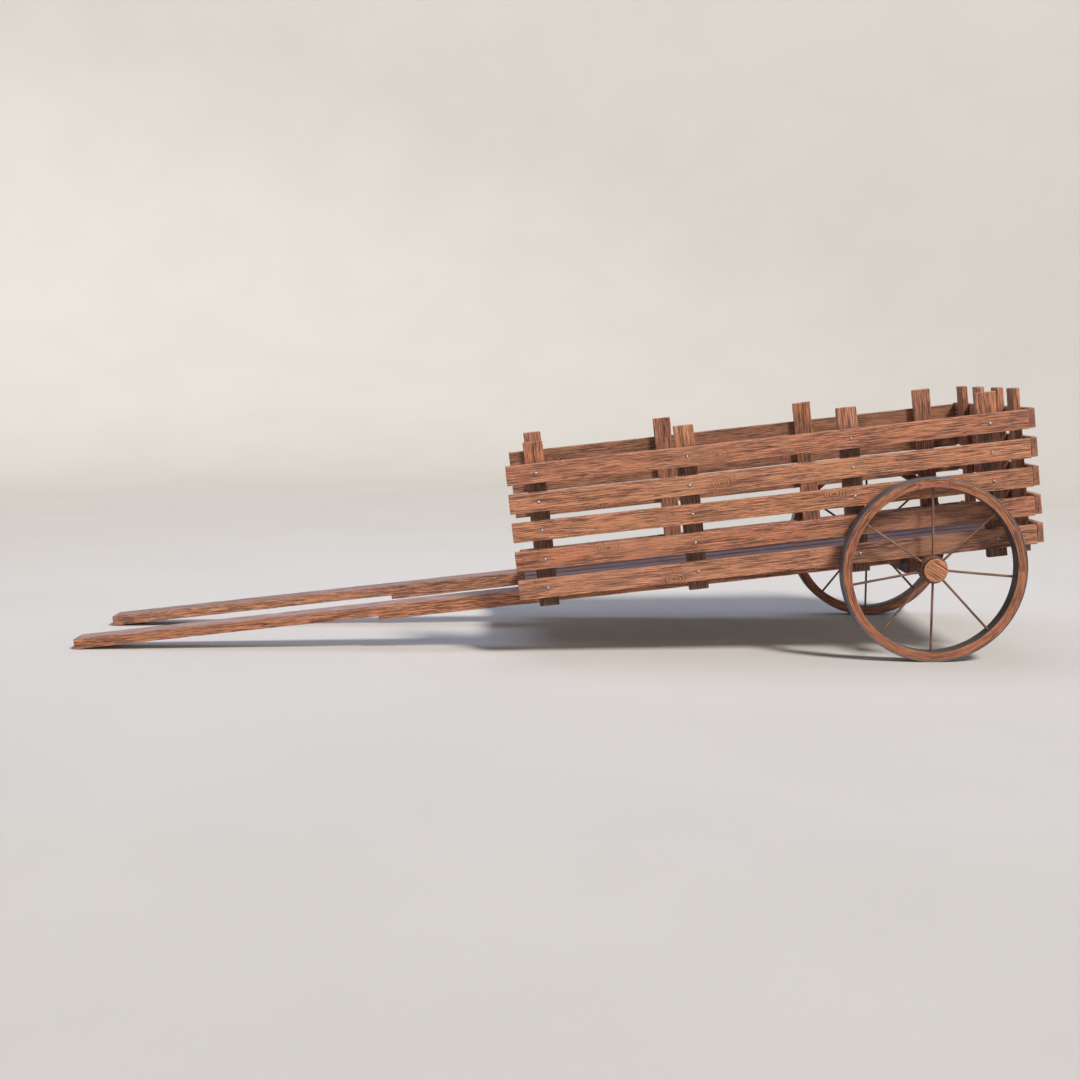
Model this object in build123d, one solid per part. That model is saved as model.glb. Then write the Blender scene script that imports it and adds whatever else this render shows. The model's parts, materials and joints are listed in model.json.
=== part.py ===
from build123d import *
import os
from math import asin, atan2, cos, degrees, pi, radians, sin, sqrt, tan

os.makedirs("parts", exist_ok=True)

# Two-wheeled slatted cart with a pair of shafts, standing on its wheels and on the tips of its shafts.
# The cart is laid out level, with X pointing to the rear, Y to the cart's right, Z up and the axle line
# through the origin. At the end it is tipped forward until the shaft tips reach the ground.
# All sizes are millimetres.

# ---- wheels
wheel_radius = 450.0            # outside of the iron tyre
tyre_thickness = 6.0
wheel_width = 85.0              # tyre and wooden rim, along the axle
rim_depth = 43.0                # wooden rim, measured towards the hub
wheel_to_slat_gap = 17.0        # between the slats' outside and the wheel's inner side
hub_radius = 68.0
hub_length = 76.0
hub_inset = 12.0                # hub's outer end, set back from the rim's outer side
hub_edge_bevel = 4.0
hub_recess_radius = 40.0        # recess in the hub's outer end that houses the linchpin
hub_recess_depth = 26.0
cap_radius = 58.0
cap_thickness = 22.0
cap_neck_radius = 54.0          # the narrow neck that shows as a dark groove behind the cap
cap_neck_length = 4.0
cap_edge_bevel = 3.0
spoke_diameter = 12.0
spoke_angles = [92.0, 43.0, -5.0, -47.0, -90.0, -128.5, -169.0, 146.5]   # degrees, from the rear, upwards
spoke_hub_depth = 20.0          # how deep a spoke enters the hub
spoke_rim_depth = 25.0          # how deep a spoke enters the rim

# ---- axle
arm_diameter = 48.0             # iron arm on which the wheel turns
arm_bed_length = 130.0          # part of the arm let into the wooden bed
collar_diameter = 72.0
collar_thickness = 8.0
linchpin_diameter = 8.0
linchpin_length = 62.0
bed_width = 176.0               # wooden axle bed, along the cart
bed_centre = 0.0
bed_bottom = -38.0              # height of its underside above the axle line
bed_end_inset = 76.0            # ends, inside the slats' outer faces

# ---- body of the cart
cart_width = 1300.0             # over the outside of the side slats
slat_front = -2015.0
slat_rear = 538.0
slat_height = 97.0
slat_thickness = 34.0
slat_pitch = 141.0
slat_rows = 5
slat_bottom = 59.0              # underside of the lowest slat above the axle line
rear_slat_thickness = 31.0
rear_slat_lift = 5.0
stake_width = 98.0
stake_thickness = 36.0
stake_bottom = 12.0
stake_top = 825.0
side_stake_places = [-1870.0, -1131.0, -333.0, 346.0]
rear_stake_places = [-490.0, -236.0, 82.0, 380.0]

# ---- floor
shaft_top = 78.0
bearer_height = 45.0
bearer_width = 98.0
tail_bearer_width = 60.0
plank_thickness = 25.0
plank_count = 8
plank_gap = 3.0
floor_front = -1983.0
floor_rear_gap = 2.0            # between the planks' ends and the rear stakes
floor_side_gap = 3.0            # between the outer planks and the side stakes

# ---- shafts
shaft_spacing = 706.0           # between centre lines
shaft_width = 150.0
shaft_depth = 74.0
handle_depth = 53.0
shaft_step = -2739.0            # where the thinner handle begins
shaft_tip = -4290.0
shaft_rear = 110.0

# ---- fastenings
nail_head_diameter = 16.5
nail_head_height = 4.5
nail_shank_diameter = 5.0
nail_length = 60.0
floor_nail_head = 9.0
floor_nail_head_height = 2.0
floor_nail_sink = 0.5           # heads lie this far below the planks
floor_nail_shank = 4.0
floor_nail_length = 60.0
floor_nail_spread = 0.5         # distance between a plank's two nails, as a part of its width
spike_diameter = 10.0
spike_length = 100.0
axle_spike_length = 138.0

# ---- fits and finishes
arm_running_clearance = 0.06    # radial, hub on arm
socket_clearance = 0.05         # radial, for pieces that don't move in their holes
shank_clearance = 0.2           # radial, nails in their holes
notch_clearance = 0.5           # each side of a shaft in the axle bed
linchpin_play = 1.0             # along the axle
collar_play = 0.5               # along the axle
board_bevel = 1.5

# ---- worked out from the sizes above
half_width = cart_width / 2
stake_outer = half_width - slat_thickness
stake_inner = stake_outer - stake_thickness
wheel_inner = half_width + wheel_to_slat_gap
wheel_outer = wheel_inner + wheel_width
wheel_middle = (wheel_inner + wheel_outer) / 2
hub_outer = wheel_outer - hub_inset
hub_inner = hub_outer - hub_length
recess_floor = hub_outer - hub_recess_depth
linchpin_place = recess_floor + linchpin_play + linchpin_diameter / 2
rim_outer_radius = wheel_radius - tyre_thickness
rim_inner_radius = rim_outer_radius - rim_depth
bed_end = half_width - bed_end_inset
bearer_top = shaft_top + bearer_height
plank_top = bearer_top + plank_thickness
rear_stake_front = slat_rear - stake_thickness
floor_rear = rear_stake_front - floor_rear_gap
floor_half = stake_inner - floor_side_gap
plank_width = (2 * floor_half - (plank_count - 1) * plank_gap) / plank_count
shaft_bottom = shaft_top - shaft_depth
handle_bottom = shaft_top - handle_depth
tail_bearer_centre = rear_stake_front - tail_bearer_width / 2
slat_levels = [slat_bottom + slat_pitch * row for row in range(slat_rows)]

# the angle at which the shaft tips' lower edges and the wheels stand on one level
tip_distance = sqrt(shaft_tip ** 2 + handle_bottom ** 2)
tilt = degrees(asin(wheel_radius / tip_distance) + atan2(handle_bottom, -shaft_tip))

SIDES = {"left": -1, "right": 1}
pieces = {}


def block(x0, x1, y0, y1, z0, z1):
    return Pos((x0 + x1) / 2, (y0 + y1) / 2, (z0 + z1) / 2) * Box(x1 - x0, y1 - y0, z1 - z0)


def board(x0, x1, y0, y1, z0, z1, bevel=board_bevel):
    """A sawn board with its edges taken off."""
    plain = block(x0, x1, y0, y1, z0, z1)
    return chamfer(plain.edges(), bevel)


def rod(start, end, diameter):
    """A round bar between two points."""
    a, b = Vector(*start), Vector(*end)
    line = Plane(origin=a, z_dir=b - a)
    bar = Cylinder(diameter / 2, (b - a).length, align=(Align.CENTER, Align.CENTER, Align.MIN))
    return line * bar


def ring(inner, outer, y0, y1):
    """A hoop around the axle line."""
    hoop = Cylinder(outer, y1 - y0) - Cylinder(inner, 2 * (y1 - y0))
    return Pos(0, (y0 + y1) / 2, 0) * Rot(90, 0, 0) * hoop


def disc(radius, y0, y1):
    return Pos(0, (y0 + y1) / 2, 0) * Rot(90, 0, 0) * Cylinder(radius, abs(y1 - y0))


def drill(piece, holes):
    return piece - holes if holes else piece


def solids_of(shapes):
    """Several separate solids as one piece."""
    return Compound(children=[solid for shape in shapes for solid in shape.solids()])


# ---- nails: the template points along +Z with the underside of its head at the origin
sphere_radius = ((nail_head_diameter / 2) ** 2 + nail_head_height ** 2) / (2 * nail_head_height)
dome = Pos(0, 0, nail_head_height - sphere_radius) * Sphere(sphere_radius)
dome = dome & block(-sphere_radius, sphere_radius, -sphere_radius, sphere_radius, 0, 2 * sphere_radius)
nail = dome + Cylinder(nail_shank_diameter / 2, nail_length, align=(Align.CENTER, Align.CENTER, Align.MAX))
nail_hole = Cylinder(nail_shank_diameter / 2 + shank_clearance, nail_length + 1,
                     align=(Align.CENTER, Align.CENTER, Align.MAX))

floor_nail = Cylinder(floor_nail_head / 2, floor_nail_head_height, align=(Align.CENTER, Align.CENTER, Align.MAX))
floor_nail += Cylinder(floor_nail_shank / 2, floor_nail_length, align=(Align.CENTER, Align.CENTER, Align.MAX))
floor_nail = Pos(0, 0, -floor_nail_sink) * floor_nail
floor_nail_hole = Cylinder(floor_nail_head / 2 + shank_clearance, floor_nail_head_height + floor_nail_sink,
                           align=(Align.CENTER, Align.CENTER, Align.MAX))
floor_nail_hole += Cylinder(floor_nail_shank / 2 + shank_clearance, floor_nail_length + floor_nail_sink + 1,
                            align=(Align.CENTER, Align.CENTER, Align.MAX))

slat_nails = []

# ---- side slats and the stakes inside them
outward = {"left": Rot(90, 0, 0), "right": Rot(-90, 0, 0)}
for side, sign in SIDES.items():
    face = sign * half_width
    spots = {(x, level): Pos(x, face, level + slat_height / 2) * outward[side]
             for x in side_stake_places for level in slat_levels}
    slat_nails += [spot * nail for spot in spots.values()]
    for row, level in enumerate(slat_levels):
        low, high = sorted((face, sign * stake_outer))
        slat = board(slat_front, slat_rear, low, high, level, level + slat_height)
        holes = [spots[x, level] * nail_hole for x in side_stake_places]
        pieces[f"{side}_slat_{slat_rows - row}"] = drill(slat, holes)
    for number, x in enumerate(side_stake_places, 1):
        low, high = sorted((sign * stake_outer, sign * stake_inner))
        stake = board(x - stake_width / 2, x + stake_width / 2, low, high, stake_bottom, stake_top)
        holes = [spots[x, level] * nail_hole for level in slat_levels]
        pieces[f"{side}_stake_{number}"] = drill(stake, holes)

# ---- rear slats, butted against the ends of the side slats, and the stakes in front of them
rear_face = slat_rear + rear_slat_thickness
rear_spots = {(y, level): Pos(rear_face, y, level + rear_slat_lift + slat_height / 2) * Rot(0, 90, 0)
              for y in rear_stake_places for level in slat_levels}
slat_nails += [spot * nail for spot in rear_spots.values()]
for row, level in enumerate(slat_levels):
    bottom = level + rear_slat_lift
    slat = board(slat_rear, rear_face, -half_width, half_width, bottom, bottom + slat_height)
    holes = [rear_spots[y, level] * nail_hole for y in rear_stake_places]
    pieces[f"rear_slat_{slat_rows - row}"] = drill(slat, holes)
for number, y in enumerate(rear_stake_places, 1):
    stake = board(rear_stake_front, slat_rear, y - stake_width / 2, y + stake_width / 2, stake_bottom, stake_top)
    holes = [rear_spots[y, level] * nail_hole for level in slat_levels]
    pieces[f"rear_stake_{number}"] = drill(stake, holes)
pieces["slat_nails"] = solids_of(slat_nails)

# ---- floor planks on their bearers; spikes hold the bearers on the shafts
axle_bearer = "axle_bearer"
bearers = {f"bearer_{number}": (x, bearer_width) for number, x in enumerate(side_stake_places, 1)}
bearers[axle_bearer] = (bed_centre, bearer_width)
bearers["tail_bearer"] = (tail_bearer_centre, tail_bearer_width)

plank_centres = [-floor_half + plank_width / 2 + (plank_width + plank_gap) * index for index in range(plank_count)]
floor_spots = {(x, y): [Pos(x, y + shift * floor_nail_spread * plank_width / 2, plank_top) for shift in (-1, 1)]
               for x, width in bearers.values() for y in plank_centres}
pieces["floor_nails"] = solids_of([spot * floor_nail for spots in floor_spots.values() for spot in spots])

for number, y in enumerate(plank_centres, 1):
    plank = board(floor_front, floor_rear, y - plank_width / 2, y + plank_width / 2, bearer_top, plank_top)
    holes = [spot * floor_nail_hole for x, width in bearers.values() for spot in floor_spots[x, y]]
    pieces[f"floor_plank_{number}"] = drill(plank, holes)

spikes, spike_holes = [], []
for name, (x, width) in bearers.items():
    if x + width / 2 > shaft_rear:
        continue
    length = axle_spike_length if name == axle_bearer else spike_length
    for sign in SIDES.values():
        y = sign * shaft_spacing / 2
        spikes.append(rod((x, y, bearer_top - floor_nail_sink), (x, y, bearer_top - length), spike_diameter))
        spike_holes.append(rod((x, y, bearer_top), (x, y, bearer_top - length - 1),
                               spike_diameter + 2 * shank_clearance))
pieces["frame_spikes"] = solids_of(spikes)

for name, (x, width) in bearers.items():
    bearer = board(x - width / 2, x + width / 2, -stake_inner, stake_inner, shaft_top, bearer_top)
    holes = [spot * floor_nail_hole for y in plank_centres for spot in floor_spots[x, y]]
    pieces[name] = drill(bearer, holes + spike_holes)

# ---- shafts: flat boards, thinner underneath at the handles
for side, sign in SIDES.items():
    y = sign * shaft_spacing / 2
    low, high = y - shaft_width / 2, y + shaft_width / 2
    beam = block(shaft_tip, shaft_rear, low, high, shaft_bottom, shaft_top)
    beam -= block(shaft_tip - 1, shaft_step, low - 1, high + 1, shaft_bottom - 1, handle_bottom)
    beam = chamfer(beam.edges(), board_bevel)
    pieces[f"{side}_shaft"] = drill(beam, spike_holes)

# ---- axle bed with notches for the shafts and bores for the iron arms
bed = board(bed_centre - bed_width / 2, bed_centre + bed_width / 2, -bed_end, bed_end, bed_bottom, shaft_top)
for sign in SIDES.values():
    y = sign * shaft_spacing / 2
    half_notch = shaft_width / 2 + notch_clearance
    bed -= block(bed_centre - bed_width, bed_centre + bed_width, y - half_notch, y + half_notch,
                 shaft_bottom, shaft_top + 1)
    bed -= disc(arm_diameter / 2 + socket_clearance, sign * (bed_end - arm_bed_length), sign * (bed_end + 1))
pieces["axle_bed"] = drill(bed, spike_holes)

# ---- iron arms with a collar behind the hub, and the linchpins through their ends
linchpins = []
for side, sign in SIDES.items():
    arm = disc(arm_diameter / 2, sign * (bed_end - arm_bed_length), sign * (hub_outer - collar_play))
    arm += disc(collar_diameter / 2, sign * (hub_inner - collar_play - collar_thickness),
                sign * (hub_inner - collar_play))
    y = sign * linchpin_place
    arm -= rod((0, y, -arm_diameter), (0, y, arm_diameter), linchpin_diameter + 2 * shank_clearance)
    pieces[f"{side}_axle_arm"] = arm
    linchpins.append(rod((0, y, -linchpin_length / 2), (0, y, linchpin_length / 2), linchpin_diameter))
pieces["linchpins"] = solids_of(linchpins)

# ---- wheels
for side, sign in SIDES.items():
    low, high = sorted((sign * wheel_inner, sign * wheel_outer))
    pieces[f"{side}_tyre"] = ring(rim_outer_radius, wheel_radius, low, high)
    rim = ring(rim_inner_radius, rim_outer_radius - socket_clearance, low, high)
    hub = disc(hub_radius, sign * hub_inner, sign * hub_outer)
    rounded = [edge for edge in hub.edges().filter_by(GeomType.CIRCLE)]
    hub = chamfer(rounded, hub_edge_bevel)
    hub -= disc(arm_diameter / 2 + arm_running_clearance, sign * (hub_inner - 1), sign * (hub_outer + 1))
    hub -= disc(hub_recess_radius, sign * recess_floor, sign * (hub_outer + 1))
    spokes, sockets = [], []
    for angle in spoke_angles:
        level = radians(angle - tilt)
        reach = [(r * cos(level), sign * wheel_middle, r * sin(level))
                 for r in (hub_radius - spoke_hub_depth, rim_inner_radius + spoke_rim_depth)]
        spokes.append(rod(*reach, spoke_diameter))
        sockets.append(rod(*reach, spoke_diameter + 2 * socket_clearance))
    pieces[f"{side}_rim"] = drill(rim, sockets)
    pieces[f"{side}_hub"] = drill(hub, sockets)
    pieces[f"{side}_spokes"] = solids_of(spokes)
    cap = disc(cap_radius, sign * (hub_outer + cap_neck_length), sign * (hub_outer + cap_neck_length + cap_thickness))
    cap = chamfer(cap.edges().filter_by(GeomType.CIRCLE), cap_edge_bevel)
    cap += disc(cap_neck_radius, sign * hub_outer, sign * (hub_outer + cap_neck_length + 1))
    pieces[f"{side}_hub_cap"] = cap

# ---- tip the cart forward, then set it on the ground with its plan outline centred on the origin
tip = Rot(0, -tilt, 0)
pieces = {name: tip * shape for name, shape in pieces.items()}
boxes = [shape.bounding_box() for shape in pieces.values()]
middle_x = (min(box.min.X for box in boxes) + max(box.max.X for box in boxes)) / 2
middle_y = (min(box.min.Y for box in boxes) + max(box.max.Y for box in boxes)) / 2
stand = Pos(-middle_x, -middle_y, wheel_radius)
for name, shape in pieces.items():
    placed = stand * shape
    placed.label = name
    export_step(placed, f"parts/{name}.step")
print(len(pieces), "pieces, tilt", round(tilt, 4), "axle at x =", round(-middle_x, 3), "y =", round(-middle_y, 3))
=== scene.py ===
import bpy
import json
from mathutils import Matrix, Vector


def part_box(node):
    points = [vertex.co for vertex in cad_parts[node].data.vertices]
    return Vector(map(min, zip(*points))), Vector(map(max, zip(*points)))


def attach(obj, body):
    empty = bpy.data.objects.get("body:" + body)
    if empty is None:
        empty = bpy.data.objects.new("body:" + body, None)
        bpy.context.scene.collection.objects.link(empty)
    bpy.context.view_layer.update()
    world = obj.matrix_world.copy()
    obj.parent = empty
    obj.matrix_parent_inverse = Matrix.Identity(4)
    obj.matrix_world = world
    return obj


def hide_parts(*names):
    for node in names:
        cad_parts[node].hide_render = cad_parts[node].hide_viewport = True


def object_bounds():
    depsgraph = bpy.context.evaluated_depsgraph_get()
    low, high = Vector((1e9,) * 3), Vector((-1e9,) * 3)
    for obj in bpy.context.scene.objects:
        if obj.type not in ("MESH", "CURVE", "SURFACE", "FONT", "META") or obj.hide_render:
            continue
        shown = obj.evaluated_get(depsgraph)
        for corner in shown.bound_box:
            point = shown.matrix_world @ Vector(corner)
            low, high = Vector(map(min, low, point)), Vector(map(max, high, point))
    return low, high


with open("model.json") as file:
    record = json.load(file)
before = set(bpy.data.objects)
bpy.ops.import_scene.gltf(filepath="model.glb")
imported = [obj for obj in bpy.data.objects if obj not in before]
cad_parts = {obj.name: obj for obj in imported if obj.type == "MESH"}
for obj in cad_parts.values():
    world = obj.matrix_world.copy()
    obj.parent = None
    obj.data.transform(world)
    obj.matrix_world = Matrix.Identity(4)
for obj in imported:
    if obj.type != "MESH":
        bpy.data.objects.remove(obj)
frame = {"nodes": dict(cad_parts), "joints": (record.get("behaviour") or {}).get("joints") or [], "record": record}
cad_box = [list(v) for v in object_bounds()]

import json
import math
import random

import bpy
import numpy as np
from mathutils import Matrix, Vector, noise

nodes = frame["nodes"]
record = frame["record"]
scene = bpy.context.scene

# ------------------------------------------------------------------ the cart's own axes
# The cart stands tipped forward. Its floor's normal and its wheel joints give a level frame:
# x to the rear along the slats, y to the right, z square to the floor, origin on the axle line.
up = Vector([m for m in record["mounts"] if m["name"] == "load_bed"][0]["axis"]).normalized()
rear = Vector((0, 1, 0)).cross(up).normalized()
axle = Vector(frame["joints"][0]["pos_m"])
axle.y = 0.0
LEVEL = Matrix((
    (rear.x, 0, up.x, axle.x),
    (rear.y, 1, up.y, axle.y),
    (rear.z, 0, up.z, axle.z),
    (0, 0, 0, 1),
))
TO_LEVEL = np.array(LEVEL.inverted())


def level_points(name):
    """The corners of a CAD node in the cart's level frame."""
    co = np.array([v.co for v in nodes[name].data.vertices])
    return co @ TO_LEVEL[:3, :3].T + TO_LEVEL[:3, 3]


def level_box(name):
    """Lowest and highest corner of a CAD node in the cart's level frame."""
    co = level_points(name)
    return co.min(0), co.max(0)


# ------------------------------------------------------------------ node helpers
FACTOR, VECTOR = 2, 1     # outputs of an Attribute node


def shade(color, *factors):
    """A colour times one factor, or times one factor for each of red, green and blue."""
    if len(factors) == 1:
        factors *= 3
    return tuple(c * k for c, k in zip(color, factors))


class Nodes:
    """Short calls for building a node material."""

    def __init__(self, name):
        self.material = bpy.data.materials.new(name)
        self.material.use_nodes = True
        self.tree = self.material.node_tree
        self.tree.nodes.clear()
        self.out = self.tree.nodes.new("ShaderNodeOutputMaterial")
        self.shader = self.tree.nodes.new("ShaderNodeBsdfPrincipled")
        self.tree.links.new(self.shader.outputs[0], self.out.inputs[0])

    def put(self, socket, value):
        if isinstance(value, bpy.types.NodeSocket):
            self.tree.links.new(value, socket)
        else:
            socket.default_value = value

    def node(self, kind, inputs=(), output=0, **settings):
        made = self.tree.nodes.new(kind)
        for key, value in settings.items():
            setattr(made, key, value)
        for key, value in dict(inputs).items():
            self.put(made.inputs[key], value)
        return made.outputs[output]

    def attribute(self, name, output):
        return self.node("ShaderNodeAttribute", output=output, attribute_name=name)

    def math(self, operation, a, b=0.0, c=0.0):
        return self.node("ShaderNodeMath", {0: a, 1: b, 2: c}, operation=operation)

    def times(self, *values):
        """All the values multiplied, from the left."""
        product = values[0]
        for value in values[1:]:
            product = self.math("MULTIPLY", product, value)
        return product

    def vector(self, operation, a, b=(0, 0, 0), output=0):
        return self.node("ShaderNodeVectorMath", {0: a, 1: b}, output, operation=operation)

    def noise(self, vector, scale, detail=3.0, rough=0.5, distortion=0.0):
        return self.node("ShaderNodeTexNoise", {"Vector": vector, "Scale": scale, "Detail": detail,
                                                "Roughness": rough, "Distortion": distortion})

    def noise_color(self, vector, scale):
        return self.node("ShaderNodeTexNoise", {"Vector": vector, "Scale": scale, "Detail": 2.0}, output=1)

    def parts(self, vector):
        """The three numbers of a vector or colour."""
        return self.node("ShaderNodeSeparateXYZ", {0: vector}).node.outputs

    def range(self, value, a, b, c=0.0, d=1.0):
        """Takes the span a to b onto the span c to d, with a soft start and end."""
        return self.node("ShaderNodeMapRange", {0: value, 1: a, 2: b, 3: c, 4: d},
                         interpolation_type="SMOOTHSTEP")

    def mix(self, factor, a, b):
        made = self.tree.nodes.new("ShaderNodeMix")
        made.data_type = "RGBA"
        for socket, value in zip((made.inputs[0], made.inputs[6], made.inputs[7]), (factor, a, b)):
            if not isinstance(value, bpy.types.NodeSocket) and hasattr(value, "__len__") and len(value) == 3:
                value = (*value, 1.0)
            self.put(socket, value)
        return made.outputs[2]

    def bump(self, height, strength, distance):
        return self.node("ShaderNodeBump", {"Height": height, "Strength": strength, "Distance": distance})

    def finish(self, color, rough, normal=None, metallic=None, specular=0.35):
        self.put(self.shader.inputs["Base Color"], color)
        self.put(self.shader.inputs["Roughness"], rough)
        self.shader.inputs["Specular IOR Level"].default_value = specular
        if normal is not None:
            self.put(self.shader.inputs["Normal"], normal)
        if metallic is not None:
            self.shader.inputs["Metallic"].default_value = metallic
        return self.material


# ------------------------------------------------------------------ wood
KNOT_SIZE = (0.072, 0.046)       # half a knot's length and width, in metres
RINGS_ACROSS, RINGS_DEEP = 112.0, 45.0     # growth rings per metre, across the face and through the board
# colours of the painted sky light on faces that look up
GREY_LIGHT, GREY_DARK, GREY_EDGE = (0.400, 0.290, 0.290), (0.155, 0.106, 0.110), (0.060, 0.042, 0.042)
# colours of the painted shade where other parts shade a board
PAINTED_SHADE_LIGHT, PAINTED_SHADE_DARK = (0.082, 0.050, 0.036), (0.020, 0.013, 0.011)
SLATE_DARK, SLATE_LIGHT = (0.040, 0.041, 0.047), (0.085, 0.087, 0.097)


def wood_material(name, dark, mid, light, grain=1.0, knots=True, bands=1.0, coarse=1.0):
    """Sawn, oiled and worn timber. Colour and relief follow the grain coordinates that each mesh carries:
    along the grain, across the broad face, through the thickness. grain packs the growth rings closer, bands
    makes them darker, coarse packs the streaks closer."""
    n = Nodes(name)
    seed, edge, end = (n.attribute(key, FACTOR) for key in ("seed", "edge", "end"))
    shift = n.node("ShaderNodeCombineXYZ", {0: n.times(seed, 3.17), 1: n.times(seed, 1.31),
                                            2: n.times(seed, 0.77)})
    place = n.vector("ADD", n.attribute("wood", VECTOR), shift)

    def drawn_out(along, wide, deep, detail, rough, distortion=0.0):
        """Noise with its own scale along the grain, across the face and through the board."""
        return n.noise(n.vector("MULTIPLY", place, (along, wide, deep)), 1.0, detail, rough, distortion)

    # growth rings, nearly along the board, with a slow wander and lens-shaped swirls round the knots
    slow = drawn_out(1.1, 3.5, 3.5, 2.0, 0.5)
    wave = drawn_out(5.5, 15.0, 15.0, 3.0, 0.6)
    split = n.parts(place)
    ring_at = n.math("ADD", n.times(split[1], RINGS_ACROSS * grain), n.times(split[2], RINGS_DEEP * grain))
    ring_at = n.math("ADD", ring_at, n.times(slow, 12.0))
    ring_at = n.math("ADD", ring_at, n.times(wave, 3.0))
    heart = swirl = 0.0
    if knots:
        # one knot at most on a board: its place on the broad face, and 1 where there is one
        knot = n.attribute("knot", VECTOR)
        chosen = n.parts(knot)[2]
        away = n.vector("SUBTRACT", n.attribute("wood", VECTOR), knot)
        away = n.vector("MULTIPLY", away, (1 / KNOT_SIZE[0], 1 / KNOT_SIZE[1], 0.0))
        uneven = n.vector("SUBTRACT", n.noise_color(place, 16.0), (0.5, 0.5, 0.5))
        away = n.vector("ADD", away, n.vector("MULTIPLY", uneven, (0.50, 0.50, 0.0)))
        far = n.vector("LENGTH", away, output=1)
        swirl = n.times(n.range(far, 0.70, 1.10, 1.0, 0.0), chosen)
        ring_at = n.math("ADD", n.times(ring_at, n.math("SUBTRACT", 1.0, swirl)), n.times(far, 5.6, swirl))
        heart = n.times(n.range(far, 0.02, 0.16, 1.0, 0.0), chosen)
    rings = n.math("FRACT", ring_at)
    ring = n.times(n.range(rings, 0.30, 0.86), n.range(rings, 0.90, 1.0, 1.0, 0.0))

    # streaks, finer streaks, flecks, pores, patches and cracks, all drawn out along the grain
    streak = drawn_out(8.5 * coarse, 300.0 * coarse, 300.0 * coarse, 4.0, 0.66, 0.35)
    fine = drawn_out(8.0, 215.0, 215.0, 3.0, 0.60, 0.35)
    fleck = drawn_out(22.0, 420.0, 420.0, 2.0, 0.6, 0.3)
    pore = n.range(drawn_out(26.0, 760.0, 760.0, 2.0, 0.5), 0.58, 0.70)
    patch = drawn_out(3.4, 17.0, 17.0, 4.0, 0.64)
    broad = drawn_out(1.9, 6.0, 6.0, 3.0, 0.55)
    crack_at = drawn_out(1.6, 46.0, 26.0, 2.0, 0.45, 0.2)
    near_crack = n.range(n.math("ABSOLUTE", n.math("SUBTRACT", crack_at, 0.5)), 0.0, 0.014, 1.0, 0.0)
    crack = n.times(near_crack, n.range(patch, 0.50, 0.60))
    plain = n.math("SUBTRACT", 1.0, n.times(swirl, 0.6)) if knots else 1.0

    color = n.mix(n.range(streak, 0.40, 0.61), mid, light)
    color = n.mix(n.times(n.range(streak, 0.46, 0.34, 0.0, 0.40 * bands), plain), color, dark)
    color = n.mix(n.times(ring, 0.50 * bands), color, dark)
    if knots:
        color = n.mix(n.times(ring, swirl), color, dark)
    color = n.mix(n.times(n.range(fine, 0.48, 0.58, 0.0, 0.88), plain), color, dark)
    color = n.mix(n.times(n.range(fine, 0.45, 0.35, 0.0, 0.45), plain), color, light)
    color = n.mix(n.range(fleck, 0.54, 0.66, 0.0, 0.62), color, dark)
    color = n.mix(n.times(pore, 0.45), color, shade(dark, 0.5))
    color = n.mix(n.range(patch, 0.52, 0.74, 0.0, 0.22), color, shade(dark, 1.25, 1.2, 1.2))
    color = n.mix(n.range(patch, 0.48, 0.32, 0.0, 0.40), color, shade(light, 1.0, 0.92, 0.80))
    color = n.mix(n.range(broad, 0.50, 0.70, 0.0, 0.45), color, shade(mid, 1.10, 1.45, 1.75))
    color = n.mix(n.times(heart, 0.7), color, shade(dark, 0.6))
    color = n.mix(n.times(crack, 0.85), color, shade(dark, 0.2))
    # every board differs a little in hue, depth and brightness
    chance = n.parts(n.node("ShaderNodeTexWhiteNoise", {"W": seed}, output=1, noise_dimensions="1D"))
    color = n.node("ShaderNodeHueSaturation", {"Hue": n.math("MULTIPLY_ADD", chance[0], 0.007, 0.4965),
                                               "Saturation": n.math("MULTIPLY_ADD", chance[1], 0.08, 0.96),
                                               "Value": n.math("MULTIPLY_ADD", chance[2], 0.16, 0.92),
                                               "Color": color})
    # rubbed edges are paler, sawn ends are darker
    worn = n.times(n.range(edge, 0.35, 1.0), n.range(n.noise(place, 34.0, 3.0, 0.6), 0.42, 0.66))
    color = n.mix(n.times(worn, 0.35), color, tuple(min(1, c) for c in shade(light, 1.25)))
    sawn = n.range(n.noise(place, 70.0, 4.0, 0.7), 0.3, 0.75, 0.20, 0.75)
    color = n.mix(n.times(end, sawn), color, shade(dark, 0.9))
    # faces that look at the sky are painted a pinkish grey, darker at their edges, that stands in for the cool
    # light from above, with the grain still showing
    grey = n.mix(n.range(fine, 0.36, 0.64), GREY_LIGHT, GREY_DARK)
    grey = n.mix(n.times(n.range(edge, 0.2, 1.0), 0.45), grey, GREY_EDGE)
    grey = n.node("ShaderNodeHueSaturation", {"Value": n.math("MULTIPLY_ADD", chance[1], 0.36, 0.86),
                                              "Color": grey})
    color = n.mix(n.times(n.attribute("sky", FACTOR), n.range(patch, 0.30, 0.70, 0.88, 0.62)), color, grey)
    # painted shade where other parts shade a board, slate grey on the inside of a bent rim, dark joint lines on
    # the rim and painted shade in the grooves of the hub and cap
    shaded = n.times(n.attribute("painted_shade", FACTOR), n.range(patch, 0.3, 0.7, 0.62, 0.86))
    color = n.mix(shaded, color, n.mix(n.range(fine, 0.40, 0.60), PAINTED_SHADE_LIGHT, PAINTED_SHADE_DARK))
    slate = n.mix(n.range(streak, 0.4, 0.62), SLATE_DARK, SLATE_LIGHT)
    color = n.mix(n.times(n.attribute("inner", FACTOR), 0.92), color, slate)
    color = n.mix(n.times(n.attribute("joint_and_groove_shade", FACTOR), 0.75), color, shade(dark, 0.25))

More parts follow.
